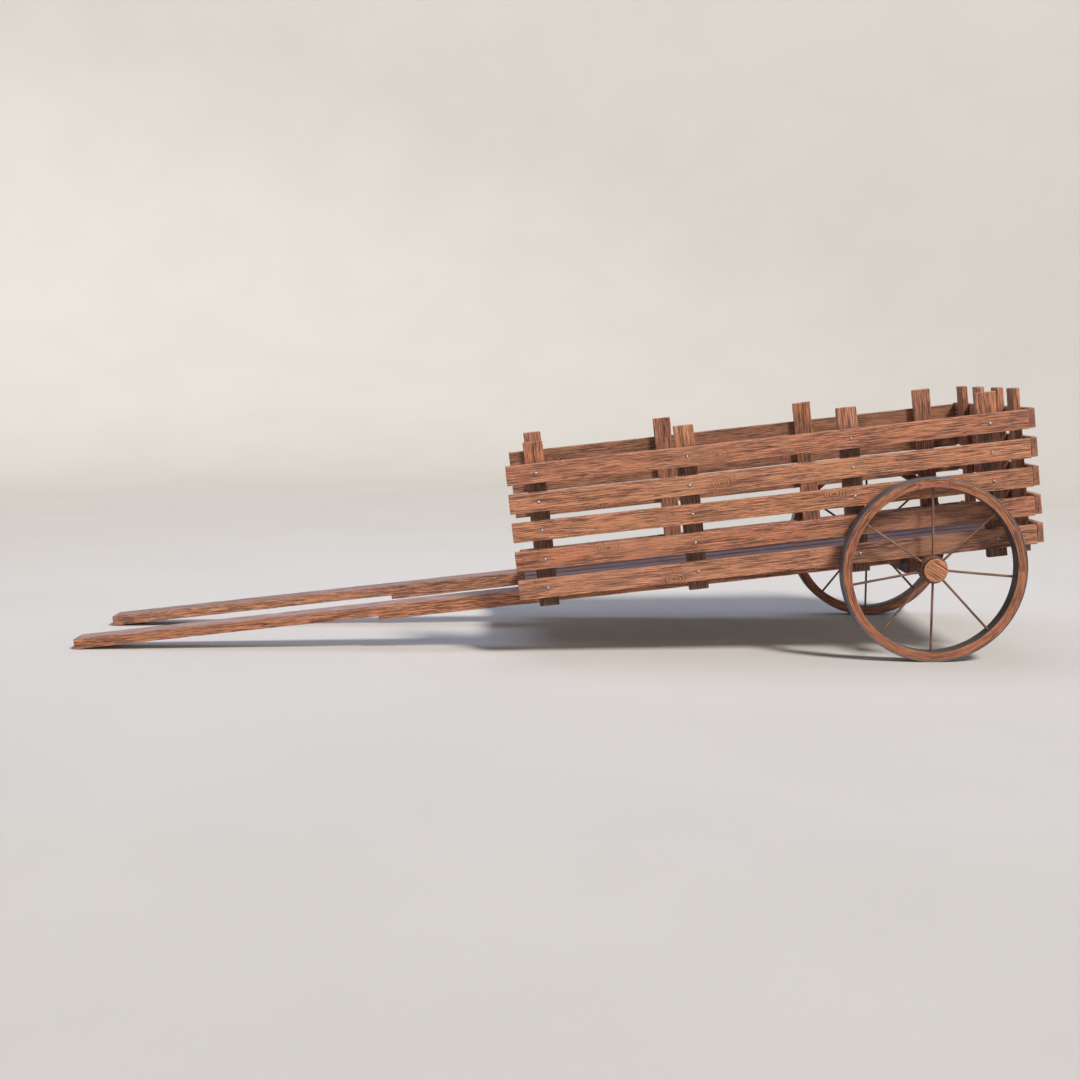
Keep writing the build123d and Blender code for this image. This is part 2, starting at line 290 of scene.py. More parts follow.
    height = n.math("ADD", n.times(ring, -0.30), n.times(streak, 0.60))
    for part, amount in ((fine, -0.45), (pore, -0.30), (crack, -1.5)):
        height = n.math("ADD", height, n.times(part, amount))
    normal = n.bump(height, 0.60, 0.0024)
    rough = n.range(n.math("ADD", n.times(fine, 0.5), n.times(patch, 0.5)), 0.3, 0.7, 0.48, 0.74)
    return n.finish(color, rough, normal, specular=0.40)


DARK, MID, LIGHT = (0.092, 0.043, 0.031), (0.415, 0.150, 0.069), (0.650, 0.292, 0.168)
board_wood = wood_material("board_wood", DARK, MID, LIGHT)
wheel_wood = wood_material("wheel_wood", DARK, (0.325, 0.104, 0.046), (0.570, 0.222, 0.104),
                           grain=1.25, knots=False, coarse=1.3)
hub_wood = wood_material("hub_wood", (0.050, 0.024, 0.018), (0.190, 0.088, 0.060), (0.300, 0.150, 0.105),
                         grain=1.5, knots=False, coarse=1.6)
cap_wood = wood_material("cap_wood", (0.060, 0.020, 0.010), (0.370, 0.118, 0.046), (0.820, 0.370, 0.190),
                         grain=1.1, knots=False, bands=1.7, coarse=1.1)
spoke_wood = wood_material("spoke_wood", (0.060, 0.032, 0.024), (0.190, 0.098, 0.068), (0.330, 0.185, 0.130),
                           grain=3.0, knots=False, bands=0.5, coarse=2.0)


# ------------------------------------------------------------------ iron and steel
RUST = (0.110, 0.045, 0.025)


def iron_material(name, base, pale, rough):
    """Hammered iron or steel with a little rust and pitting."""
    n = Nodes(name)
    place = n.node("ShaderNodeTexCoord", output=3)
    cloud = n.noise(place, 14.0, 5.0, 0.6)
    grain = n.noise(place, 180.0, 3.0, 0.6)
    pits = n.range(n.noise(place, 420.0, 2.0, 0.5), 0.60, 0.72)
    rust = n.times(n.range(cloud, 0.56, 0.72), n.range(grain, 0.42, 0.62))
    color = n.mix(n.range(grain, 0.35, 0.7), base, pale)
    color = n.mix(n.times(rust, 0.45), color, RUST)
    color = n.mix(n.times(pits, 0.5), color, shade(base, 0.4))
    hammer = n.node("ShaderNodeTexVoronoi", {"Vector": place, "Scale": 55.0})
    height = n.math("ADD", n.times(hammer, 0.5), n.times(grain, 0.35))
    height = n.math("ADD", height, n.times(pits, -0.3))
    rough = n.range(grain, 0.3, 0.7, rough - 0.12, rough + 0.16)
    return n.finish(color, rough, n.bump(height, 0.35, 0.0012), metallic=0.75, specular=0.5)


tyre_iron = iron_material("tyre_iron", (0.105, 0.112, 0.130), (0.215, 0.225, 0.250), 0.52)
dark_iron = iron_material("dark_iron", (0.045, 0.045, 0.050), (0.100, 0.100, 0.110), 0.55)
nail_steel = iron_material("nail_steel", (0.200, 0.204, 0.218), (0.520, 0.525, 0.550), 0.30)


# ------------------------------------------------------------------ mesh helpers
def wander(place, seed, scale):
    """Smooth noise along a line of places."""
    return np.array([noise.noise(Vector((p / scale, seed * 7.31, seed * 1.7))) for p in place])


def set_attribute(mesh, key, values):
    """Stores a number or a vector for each corner of a mesh."""
    values = np.asarray(values, np.float32)
    is_vector = values.ndim == 2
    attribute = mesh.attributes.new(key, "FLOAT_VECTOR" if is_vector else "FLOAT", "POINT")
    attribute.data.foreach_set("vector" if is_vector else "value", values.ravel())


def loft(rings, around, base=0):
    """The faces between rings of corners that lie one after another."""
    return [(base + i * around + k, base + i * around + (k + 1) % around,
             base + (i + 1) * around + (k + 1) % around, base + (i + 1) * around + k)
            for i in range(rings - 1) for k in range(around)]


def make_object(name, verts, faces, material, body, attributes, in_level=True):
    """A smooth-shaded piece that rides on a body. in_level says that its corners are in the level frame."""
    mesh = bpy.data.meshes.new(name)
    mesh.from_pydata([tuple(v) for v in verts], [], faces)
    for key, values in attributes.items():
        set_attribute(mesh, key, values)
    mesh.polygons.foreach_set("use_smooth", [True] * len(mesh.polygons))
    mesh.materials.append(material)
    if in_level:
        mesh.transform(LEVEL)
    mesh.update()
    obj = bpy.data.objects.new(name, mesh)
    scene.collection.objects.link(obj)
    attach(obj, body)
    return obj


def rounded_outline(half_v, half_w, bevel, corner=3, side_v=4, side_w=3):
    """A board's cross section, anticlockwise, and how near each point is to an edge."""
    points, near_edge = [], []
    centres = [(1, 1), (-1, 1), (-1, -1), (1, -1)]
    for index, (a, b) in enumerate(centres):
        for k in range(corner + 1):
            angle = math.radians(90) * (index + k / corner)
            points.append((a * (half_v - bevel) + bevel * math.cos(angle),
                           b * (half_w - bevel) + bevel * math.sin(angle)))
            near_edge.append(1.0)
        nxt = centres[(index + 1) % 4]
        last, angle = points[-1], math.radians(90) * (index + 1)
        first = (nxt[0] * (half_v - bevel) + bevel * math.cos(angle),
                 nxt[1] * (half_w - bevel) + bevel * math.sin(angle))
        count = side_v if index % 2 == 0 else side_w
        length = math.dist(last, first)
        near = min(0.006, length / 4) / length
        for share in [near] + [near + (1 - 2 * near) * k / count for k in range(1, count)] + [1 - near]:
            points.append((last[0] + (first[0] - last[0]) * share, last[1] + (first[1] - last[1]) * share))
            near_edge.append(0.0)
    return np.array(points), np.array(near_edge)


KNOT_CHANCE = 0.55               # for a board whose knot isn't given
NO_KNOT = (9.0, 9.0, 0.0)        # far off the board, and not chosen
WEAR, BOW, LEAN = 0.0013, 0.0009, 0.0008     # rubbed away, bent, and sawn out of square, in metres


def board(name, node, axis, seed, bevel=0.003, step=0.035, cuts=(), knot=None, painted_shade=None, sky_tint=1.0):
    """A sawn, worn board in place of a CAD node. axis is the grain's direction in the level frame.
    cuts are (from, to, lift of the underside, drop of the top) along the grain, for steps and notches.
    knot is a place in fractions of the length and of half the width, the shade function gives the painted shade at
    a place, and the sky tint says how strongly the upper face is painted with the pinkish grey that stands in for
    the light from above."""
    low, high = level_box(node)
    middle, size = (low + high) / 2, high - low
    v_axis, w_axis = [k for k in range(3) if k != axis]
    half, half_v, half_w = size[axis] / 2, size[v_axis] / 2, size[w_axis] / 2
    bevel = min(bevel, half_v * 0.45, half_w * 0.45)
    outline, near_edge = rounded_outline(half_v, half_w, bevel)
    count = len(outline)
    steps = sorted({c for cut in cuts for c in cut[:2] if abs(c - middle[axis]) < half - 0.01})
    places = [sign * (half - bevel * inset) for sign in (-1, 1) for inset in (0, 0.3, 1, 2.2)]
    places += list(np.linspace(-half + step, half - step, max(2, int(2 * half / step))))
    edges_at = [c - middle[axis] for c in steps]
    places = [p for p in places if all(abs(p - e) > 0.004 for e in edges_at)]
    places += [e + d for e in edges_at for d in (-0.0030, -0.0004, 0.0004, 0.0030)]
    places = np.array(sorted(places))
    shrink = np.interp(half - np.abs(places), [0, bevel * 0.3, bevel], [bevel * 0.95, bevel * 0.35, 0.0])
    bow_v, bow_w = wander(places, seed, 1.1) * BOW * 2, wander(places, seed + 50, 1.1) * BOW * 2
    verts, wood, near, cut_end, sky, shade_values = [], [], [], [], [], []
    half_broad = max(half_v, half_w)
    chance = random.Random(int(seed * 100) + 7)
    if knot is None and chance.random() < KNOT_CHANCE:
        knot = (chance.uniform(0.1, 0.9), chance.uniform(-0.7, 0.7))
    knot = ((knot[0] - 0.5) * 2 * half, knot[1] * half_broad, 1.0) if knot else NO_KNOT
    for i, place in enumerate(places):
        lift = drop = 0.0
        for a, b, up_by, down_by in cuts:
            if a <= place + middle[axis] <= b:
                lift, drop = up_by, down_by
        for k, (v, w) in enumerate(outline):
            dent = noise.noise(Vector((place / 0.12, v / 0.05 + seed * 3.3, w / 0.05)))
            chip = noise.noise(Vector((place / 0.022, v / 0.03 + seed * 9.1, w / 0.03)))
            pull = WEAR * max(0.0, 0.35 + 0.5 * dent + near_edge[k] * (0.9 * chip))
            side_v, side_w = abs(v) > half_v - bevel * 1.01, abs(w) > half_w - bevel * 1.01
            vv = (v - math.copysign(pull, v) * side_v) * (1 - shrink[i] / half_v) + bow_v[i]
            ww = (w - math.copysign(pull, w) * side_w) * (1 - shrink[i] / half_w) + bow_w[i]
            if lift or drop:
                share = min(1, max(0, (w + half_w - bevel) / (2 * (half_w - bevel))))
                ww += lift * (1 - share) - drop * share
            point = np.zeros(3)
            point[axis] = place
            if half - abs(place) < bevel * 1.5:
                sign = math.copysign(1, place)
                slant = noise.noise(Vector((seed * 2.7 + sign, 3.1, 0))) * LEAN * v / half_v
                point[axis] -= sign * (0.0006 + LEAN + slant - 0.0008 * noise.noise(
                    Vector((v / 0.02, seed * 4.1 + sign, w / 0.02))))
            point[v_axis], point[w_axis] = vv, ww
            verts.append(middle + point)
            wood.append((place, vv, ww) if half_v >= half_w else (place, ww, vv))
            near.append(near_edge[k] if half - abs(place) > bevel * 1.5 else 1.0)
            cut_end.append(0.0)
            # the upper face gets the painted light from the sky
            sky.append(sky_tint * min(1.0, max(0.0, (w / half_w - 0.86) / 0.12)) if axis != 2 else 0.0)
            shade_values.append(painted_shade(middle + point) if painted_shade else 0.0)
    faces = loft(len(places), count)
    # end faces: rings of their own, so that the end grain has a sharp border
    for i, sign in ((0, -1), (len(places) - 1, 1)):
        base = len(verts)
        for scale in (1.0, 0.86, 0.45):
            for k in range(count):
                point = verts[i * count + k] - middle
                centre = np.zeros(3)
                centre[axis] = point[axis]
                point = centre + (point - centre) * scale
                point[axis] += sign * (0.0004 * (1 - scale)) - sign * 0.0005 * (scale < 1) * abs(
                    noise.noise(Vector((point[v_axis] / 0.008, seed, point[w_axis] / 0.008))))
                verts.append(middle + point)
                wood.append((point[v_axis] * 0.35, point[v_axis], point[w_axis]))
                near.append(0.0)
                cut_end.append(1.0)
                # the top end of an upright board gets the painted light from the sky too
                sky.append(0.7 if axis == 2 and sign > 0 else 0.0)
                shade_values.append(0.0)
        starts = [i * count] + [base + r * count for r in range(3)]
        loops = [list(range(start, start + count)) for start in starts]
        for a, b in zip(loops, loops[1:]):
            for k in range(count):
                face = (a[k], a[(k + 1) % count], b[(k + 1) % count], b[k])
                faces.append(face if sign > 0 else face[::-1])
        faces.append(tuple(loops[-1]) if sign > 0 else tuple(loops[-1][::-1]))
    if axis == 1:
        faces = [f[::-1] for f in faces]
    obj = make_object(name, verts, faces, board_wood, "cart",
                      {"wood": np.array(wood), "edge": near, "end": cut_end, "sky": sky, "painted_shade": shade_values,
                       "knot": np.tile(knot, (len(verts), 1)), "seed": np.full(len(verts), float(seed))})
    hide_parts(node)


# ------------------------------------------------------------------ the cart's boards
# how much painted shade each kind of board gets where other parts shade it
LOAD_SIDE_SHADE, WHEEL_SHADE, PLANK_EDGE_SHADE, BEARER_SHADE, BED_SHADE = 0.34, 0.50, 0.95, 0.45, 1.25
SLAT_SKY_TINT = 0.25               # the slats' narrow tops get less of the painted sky light than the floor and shafts


def numbered(prefix):
    """Names of the CAD nodes with this prefix and a number, in order."""
    return sorted((n for n in nodes if n.startswith(prefix) and n[len(prefix):].isdigit()),
                  key=lambda n: int(n[len(prefix):]))


slat_top = max(level_box(n)[1][2] for n in numbered("left_slat_"))


def behind_slats(node):
    """Painted shade on a stake below the top slat, where the slats shade it: full on the face towards them,
    lighter on the other faces.
    """
    low, high = level_box(node)
    side = -1 if high[1] < 0 else 1

    def painted_shade(point):
        if node.startswith("rear"):
            faces_slats = (point[0] - low[0]) / (high[0] - low[0]) > 0.9
        else:
            faces_slats = side * (point[1] - (low[1] + high[1]) / 2) / (high[1] - low[1]) * 2 > 0.8
        depth = min(1.0, max(0.0, (slat_top + 0.012 - point[2]) / 0.03))
        return depth * (1.0 if faces_slats else 0.35)
    return painted_shade


def smooth(value, low, high):
    """0 at low, 1 at high, with a soft start and end."""
    t = min(1.0, max(0.0, (value - low) / (high - low)))
    return t * t * (3 - 2 * t)


def slat_shade(node):
    """Painted shade on a slat: a little on the load side, and more on the lower slats behind the wheel, where the
    rim shades them.
    """
    low, high = level_box(node)
    side = -1 if high[1] < 0 else 1
    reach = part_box(("left" if side < 0 else "right") + "_rim")[1].z - axle.z

    def painted_shade(point):
        across = side * (point[1] - (low[1] + high[1]) / 2) / (high[1] - low[1]) * 2
        if across < -0.8:
            return LOAD_SIDE_SHADE
        inside_rim = smooth(math.hypot(point[0] + 0.03, point[2]), reach + 0.06, reach - 0.12)
        low_down = 1 - smooth(point[2], reach * 0.62, reach * 0.85)
        return WHEEL_SHADE * inside_rim * low_down if across > 0.2 else 0.0
    return painted_shade


def plank_shade(node):
    """Painted shade along the edges of a plank, where the gaps between the planks fall in shade."""
    low, high = level_box(node)

    def painted_shade(point):
        gap = min(point[1] - low[1], high[1] - point[1])
        return PLANK_EDGE_SHADE * (1 - smooth(gap, 0.008, 0.040))
    return painted_shade


# painted shade on the bearers, which lie in the shade under the floor
def bearer_shade(point):
    return BEARER_SHADE


def shade_of(node):
    """The function that says how much painted shade a board gets at a place, or None."""
    if "stake" in node:
        return behind_slats(node)
    if "t_slat" in node:
        return slat_shade(node)
    if "plank" in node:
        return plank_shade(node)
    return bearer_shade if node.startswith("bearer") else None


KNOTS = {"left_slat_1": (0.404, -0.15), "left_slat_2": (0.407, -0.1), "left_slat_3": (0.62, 0.5),
         "left_slat_4": (0.18, 0.4), "left_slat_5": (0.30, -0.5), "right_slat_1": (0.10, -0.3),
         "right_stake_2": (0.93, 0.2)}
ALONG_X, ALONG_Y, ALONG_Z = 0, 1, 2
seed = 1
for prefix, axis, bevel in (("left_slat_", ALONG_X, 0.0030), ("right_slat_", ALONG_X, 0.0030),
                            ("rear_slat_", ALONG_Y, 0.0030), ("left_stake_", ALONG_Z, 0.0030),
                            ("right_stake_", ALONG_Z, 0.0030), ("rear_stake_", ALONG_Z, 0.0030),
                            ("floor_plank_", ALONG_X, 0.0025), ("bearer_", ALONG_Y, 0.0030)):
    for node in numbered(prefix):
        board(node + "_wood", node, axis, seed, bevel=bevel, knot=KNOTS.get(node), painted_shade=shade_of(node),
              sky_tint=SLAT_SKY_TINT if "slat" in node else 1.0)
        seed += 1
for node in ("axle_bearer", "tail_bearer"):
    board(node + "_wood", node, ALONG_Y, seed, painted_shade=bearer_shade)
    seed += 1

# shafts: thinner underneath in front of the step, which is found on the CAD node
for side in ("left", "right"):
    node = side + "_shaft"
    points = level_points(node)
    deep = points[points[:, 2] < points[:, 2].min() + 0.001]
    step_at = deep[:, 0].min() - 0.0015
    thin = points[points[:, 0] < step_at - 0.01]
    lift = thin[:, 2].min() - points[:, 2].min()
    board(node + "_wood", node, ALONG_X, seed, cuts=[(-math.inf, step_at, lift, 0.0)], bevel=0.0035,
          step=0.045)
    seed += 1

# axle bed: notched from above for the shafts
bed_top = level_box("axle_bed")[1][2]
notches = []
for side in ("left", "right"):
    low, high = level_box(side + "_shaft")
    notches.append((low[1] - 0.0005, high[1] + 0.0005, 0.0, bed_top - low[2]))
# painted shade all over the bed, which lies in the shade under the floor
board("axle_bed_wood", "axle_bed", ALONG_Y, seed, cuts=notches, bevel=0.004, step=0.03,
      painted_shade=lambda point: BED_SHADE)


# ------------------------------------------------------------------ turned and bent pieces round the axle
def lathe(name, profile, y_sign, material, body, steps, warp, wood_at, seed, closed=True):
    """Spins (radius, distance from the cart's middle, nearness to an edge) round the axle line."""
    rows = len(profile)
    verts, wood, near = [], [], []
    for i in range(steps):
        angle = 2 * math.pi * i / steps
        for r, y, e in profile:
            a, rr, yy = warp(angle, r, y)
            verts.append((axle.x + rr * math.cos(a), y_sign * yy, axle.z + rr * math.sin(a)))
            wood.append(wood_at(angle, rr, yy))
            near.append(e)
    faces = []
    last = rows if closed else rows - 1
    for i in range(steps):
        for k in range(last):
            a, b = i * rows + k, i * rows + (k + 1) % rows
            c, d = ((i + 1) % steps) * rows + (k + 1) % rows, ((i + 1) % steps) * rows + k
            faces.append((a, b, c, d) if y_sign > 0 else (d, c, b, a))
    attributes = {"wood": np.array(wood), "edge": near, "seed": np.full(len(verts), float(seed)),
                  "end": np.zeros(len(verts))}
    return make_object(name, verts, faces, material, body, attributes, in_level=False)


def dense(corners, bevel, most=0.012):
    """A closed profile from corner points with small rounded corners, walked in the given order."""
    out = []
    total = len(corners)
    for i, (r, y) in enumerate(corners):
        before, after = np.array(corners[i - 1]), np.array(corners[(i + 1) % total])
        here = np.array((r, y))
        to_before = (before - here) / np.linalg.norm(before - here)
        to_after = (after - here) / np.linalg.norm(after - here)
        cut = min(bevel, np.linalg.norm(before - here) * 0.45, np.linalg.norm(after - here) * 0.45)
        start, end = here + to_before * cut, here + to_after * cut
        for t in (0.0, 0.33, 0.67, 1.0):
            point = (1 - t) ** 2 * start + 2 * t * (1 - t) * here + t * t * end
            out.append((*point, 1.0))
        nxt_cut = min(bevel, np.linalg.norm(after - here) * 0.45)
        stop = after - to_after * nxt_cut
        length = np.linalg.norm(stop - end)
        if length > most * 0.8:
            inset = min(0.004, length / 4)
            inner = [end + to_after * inset]
            pieces = max(1, int(length / most))
            gap = (length - 2 * inset) / pieces
            inner += [end + to_after * (inset + gap * k) for k in range(1, pieces + 1)]
            out += [(*p, 0.0) for p in inner]
    return out


SPLICE = (math.radians(81.6), math.radians(103.4))     # the two joints of the short piece that closes the rim


def joint_depth(angle, r, r_in, r_out):
    """How deep the thin curved joint lines are at this place on the rim."""
    share = (r - r_in) / (r_out - r_in)
    depth = 0.0
    for centre, side in zip(SPLICE, (1, -1)):
        line = centre + side * 0.020 * (1 - (2 * share - 1) ** 2)
        gap = abs(math.atan2(math.sin(angle - line), math.cos(angle - line))) * r
        depth = max(depth, max(0.0, 1 - gap / 0.0040))
    return depth


def across(node):
    """A wheel piece's nearest and farthest distance from the cart's middle."""
    low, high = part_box(node)
    return sorted((abs(low.y), abs(high.y)))


def radius(node):
    low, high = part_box(node)
    return (high.z - low.z) / 2


TYRE_STEPS, RIM_STEPS, HUB_STEPS, CAP_STEPS = 256, 384, 128, 96
CAP_GRAIN = math.radians(-31)    # the cap's grain runs down to the rear
SPOKE_AROUND, SPOKE_ALONG = 14, 22

for side, sign in (("left", -1), ("right", 1)):
    body = side + "_wheel"
    tyre_in, tyre_out = across(side + "_tyre")
    tyre_r = radius(side + "_tyre")
    tyre_middle = (tyre_in + tyre_out) / 2
    rim_out = radius(side + "_rim")
    rim_points = np.array([v.co for v in nodes[side + "_rim"].data.vertices])
    rim_in = np.hypot(rim_points[:, 0] - axle.x, rim_points[:, 2] - axle.z)
    flat = np.minimum(abs(abs(rim_points[:, 1]) - tyre_in), abs(abs(rim_points[:, 1]) - tyre_out)) < 1e-4
    rim_in = rim_in[flat].min()

    # iron tyre: a flat hoop, rounded by wear at its outer edges
    def tyre_warp(a, r, y):
        c, s = math.cos(a), math.sin(a)
        rough = noise.noise(Vector((c * 9, s * 9, y * 40 + sign))) * 0.0005
        fine = noise.noise(Vector((c * 40, s * 40, y * 120 + sign))) * 0.00025
        wear = rough + fine
        if r > tyre_r - 0.003:
            r -= 0.0002 + max(0.0, wear)
        outward = 1 if y > tyre_middle else -1
        return a, r, y + wear * 0.8 * outward - 0.0006 * outward

    profile = dense([(rim_out + 0.0001, tyre_in), (tyre_r, tyre_in), (tyre_r, tyre_out),
                     (rim_out + 0.0001, tyre_out)], 0.0022)
    tyre = lathe(side + "_tyre_iron", profile, sign, tyre_iron, body, TYRE_STEPS, tyre_warp,
                 lambda a, r, y: (0, 0, 0), seed=sign)
    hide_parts(side + "_tyre")

    # bent wooden rim, closed by a short spliced piece
    middle_r = (rim_in + rim_out) / 2

    def rim_warp(a, r, y):
        c, s = math.cos(a), math.sin(a)
        dent = noise.noise(Vector((c * 6 + sign * 3, s * 6, r * 30 + y * 30))) * 0.0007
        depth = joint_depth(a, r, rim_in, rim_out)
        y += (dent - 0.0008 - 0.0026 * depth) * (1 if y > tyre_middle else -1)
        if r < rim_in + 0.004:
            r += 0.0004 + max(0, dent) + 0.0018 * depth
        return a, r, y

    corners = [(rim_in, tyre_in), (rim_out - 0.0003, tyre_in), (rim_out - 0.0003, tyre_out),
               (rim_in, tyre_out)]
    profile = dense(corners, 0.0035, most=0.009)

    def rim_wood(a, r, y):
        # the spliced piece has a grain of its own
        inside = SPLICE[0] < a < SPLICE[1]
        along = a * middle_r + (9.0 if inside else 0.0)
        return along, (r - middle_r) * 0.9, y * 0.9 + (0.4 if inside else 0.0)

    rim = lathe(side + "_rim_wood", profile, sign, wheel_wood, body, RIM_STEPS, rim_warp,
                rim_wood, seed=61 + sign * 2)
    set_attribute(rim.data, "joint_and_groove_shade", [joint_depth(2 * math.pi * i / RIM_STEPS, r, rim_in, rim_out)
                                       for i in range(RIM_STEPS) for r, y, e in profile])
    set_attribute(rim.data, "inner", [float(r < rim_in + 0.0012) for r, y, e in profile] * RIM_STEPS)
    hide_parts(side + "_rim")

    # hub barrel: closed ring with the bore and the recess that houses the linchpin
    hub_in, hub_out = across(side + "_hub")
    hub_r = radius(side + "_hub")
    hub_points = np.array([v.co for v in nodes[side + "_hub"].data.vertices])
    hub_reach = np.hypot(hub_points[:, 0] - axle.x, hub_points[:, 2] - axle.z)
    bore_r = hub_reach.min()
    recess = hub_points[(hub_reach > bore_r + 0.004)]
    recess_reach = np.hypot(recess[:, 0] - axle.x, recess[:, 2] - axle.z)
    recess_r = recess_reach.min()
    recess_y = abs(recess[recess_reach < recess_r + 0.001][:, 1]).min()
    cap_in, cap_out = across(side + "_hub_cap")
    cap_r = radius(side + "_hub_cap")
    corners = [(bore_r, hub_in), (hub_r - 0.006, hub_in), (hub_r, hub_in + 0.006), (hub_r, hub_in + 0.018),
               (hub_r - 0.0025, hub_in + 0.0195), (hub_r, hub_in + 0.021), (hub_r, hub_out - 0.012),
               (hub_r - 0.007, hub_out - 0.0005), (cap_r + 0.0005, hub_out - 0.0005),
               (cap_r - 0.001, hub_out - 0.005), (cap_r - 0.005, hub_out - 0.005), (cap_r - 0.005, hub_out),
               (recess_r, hub_out), (recess_r, recess_y), (bore_r, recess_y)]

    def hub_warp(a, r, y):
        if r > hub_r - 0.009:
            dent = noise.noise(Vector((math.cos(a) * 2.2, math.sin(a) * 2.2, y * 30 + sign)))
            r -= 0.0003 + 0.0005 * max(0, dent)
        return a, r, y

    hub_profile = dense(corners, 0.0016, most=0.010)
    hub = lathe(side + "_hub_wood", hub_profile, sign, hub_wood, body, HUB_STEPS, hub_warp,
                lambda a, r, y: (y, r * math.cos(a) * 0.8, r * math.sin(a) * 0.8), seed=71 + sign)
    # painted shade in the groove round the cap
    groove_shade = [float(r < cap_r + 0.001 and y > hub_out - 0.012) for r, y, e in hub_profile]
    set_attribute(hub.data, "joint_and_groove_shade", groove_shade * HUB_STEPS)
    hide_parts(side + "_hub")

    # hub cap: a turned disc sawn from a board
    neck_r = cap_r - 0.004

    def cap_wood_at(a, r, y):
        x, z = r * math.cos(a), r * math.sin(a)
        c, s = math.cos(CAP_GRAIN), math.sin(CAP_GRAIN)
        return x * c + z * s, -x * s + z * c, y

    def cap_warp(a, r, y):
        if y > cap_out - 0.004:
            y -= 0.0005 + 0.0006 * (r / cap_r) ** 2
        return a, r, y

    rings = [(r, cap_out - 0.0001) for r in (0.004, 0.012, 0.022, 0.032, 0.042, 0.050)]
    body_profile = [(0.0008, cap_in, 0.0), (neck_r - 0.002, cap_in, 0.0), (neck_r, cap_in + 0.0008, 0.0),
                    (neck_r, cap_in + 0.0038, 0.0), (cap_r - 0.0025, cap_in + 0.0042, 1.0),
                    (cap_r - 0.0006, cap_in + 0.0052, 1.0), (cap_r, cap_in + 0.0072, 1.0),
                    (cap_r, cap_in + 0.011, 0.0), (cap_r, cap_out - 0.0085, 0.0),
                    (cap_r, cap_out - 0.0050, 1.0), (cap_r - 0.0012, cap_out - 0.0022, 1.0),
                    (cap_r - 0.0034, cap_out - 0.0004, 1.0), (cap_r - 0.0070, cap_out, 0.0)]
    body_profile += [(r, y, 0.0) for r, y in reversed(rings)] + [(0.0008, cap_out - 0.0001, 0.0)]
    cap = lathe(side + "_hub_cap_wood", body_profile, sign, cap_wood, body, CAP_STEPS, cap_warp,
                cap_wood_at, seed=81 + sign, closed=False)
    # close the two small centre openings
    mesh = cap.data
    rows = len(body_profile)
    first = [i * rows for i in range(CAP_STEPS)]
    last = [i * rows + rows - 1 for i in range(CAP_STEPS)]
    verts = [v.co.copy() for v in mesh.vertices]
    faces = [tuple(p.vertices) for p in mesh.polygons]
    faces += [tuple(first[::-1] if sign > 0 else first), tuple(last if sign > 0 else last[::-1])]
    keep = {k: np.array([getattr(d, "vector" if k == "wood" else "value") for d in mesh.attributes[k].data])
            for k in ("wood", "edge", "end", "seed")}
    bpy.data.objects.remove(cap)
    cap = make_object(side + "_hub_cap_wood", verts, faces, cap_wood, body, keep,
                      in_level=False)
    # painted shade on the cap's side and neck, where it sits in the hub
    neck_shade = [0.85 if y < cap_out - 0.006 else 0.0 for r, y, e in body_profile]
    set_attribute(cap.data, "joint_and_groove_shade", neck_shade * CAP_STEPS)
    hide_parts(side + "_hub_cap")

    # spokes: slim round rods, each a little bowed and a little uneven in thickness along its length
    node = nodes[side + "_spokes"]
    co = np.array([v.co for v in node.data.vertices])
    centre_y = (co[:, 1].min() + co[:, 1].max()) / 2
    spoke_r = (co[:, 1].max() - co[:, 1].min()) / 2
    plane = np.arctan2(co[:, 2] - axle.z, co[:, 0] - axle.x)
    reach = np.hypot(co[:, 0] - axle.x, co[:, 2] - axle.z)
    tips = np.sort(np.degrees(plane[reach > reach.max() - 0.001]))
    groups = np.split(tips, np.where(np.diff(tips) > 8)[0] + 1)
    angles = [float((group[0] + group[-1]) / 2) for group in groups]
    if len(angles) > 1 and angles[0] + 360 - angles[-1] < 8:
        angles = angles[1:]
    start, end = reach.min() + 0.001, reach.max() - 0.001
    verts, faces, wood, near, seeds = [], [], [], [], []
    for number, angle in enumerate(angles):
        a = math.radians(angle)
        out = np.array((math.cos(a), 0.0, math.sin(a)))
        sideways = np.array((-math.sin(a), 0.0, math.cos(a)))
        base = len(verts)
        for i in range(SPOKE_ALONG + 1):
            share = i / SPOKE_ALONG
            distance = start + (end - start) * share
            bend = math.sin(math.pi * share) * 0.0014 * noise.noise(Vector((number * 3.7 + sign, 1.3, 0)))
            swell = spoke_r * (1.02 + 0.05 * noise.noise(Vector((distance * 14, number * 2.1, sign))))
            for k in range(SPOKE_AROUND):
                t = 2 * math.pi * k / SPOKE_AROUND
                point = np.array((axle.x, centre_y, axle.z)) + out * distance
                point = point + sideways * (bend + swell * math.cos(t))
                verts.append(point + np.array((0, 1, 0)) * swell * math.sin(t))
                wood.append((distance, swell * math.cos(t), swell * math.sin(t)))
                near.append(0.0)
                seeds.append(91 + number * 1.7 + sign * 0.3)
        for i in range(SPOKE_ALONG):
            for k in range(SPOKE_AROUND):
                here, beside = (base + i * SPOKE_AROUND + step % SPOKE_AROUND for step in (k, k + 1))
                faces.append((here, here + SPOKE_AROUND, beside + SPOKE_AROUND, beside))
        faces.append(tuple(base + k for k in range(SPOKE_AROUND)))
        faces.append(tuple(base + SPOKE_ALONG * SPOKE_AROUND + k for k in range(SPOKE_AROUND))[::-1])
    spokes = make_object(side + "_spokes_wood", verts, faces, spoke_wood, body,
                         {"wood": np.array(wood), "edge": near, "end": np.zeros(len(verts)), "seed": seeds},
                         in_level=False)
    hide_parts(side + "_spokes")


# ------------------------------------------------------------------ iron and nails
for name, material in (("left_axle_arm", dark_iron), ("right_axle_arm", dark_iron), ("linchpins", dark_iron),
                       ("frame_spikes", dark_iron), ("slat_nails", nail_steel)):
    nodes[name].data.materials.clear()
    nodes[name].data.materials.append(material)

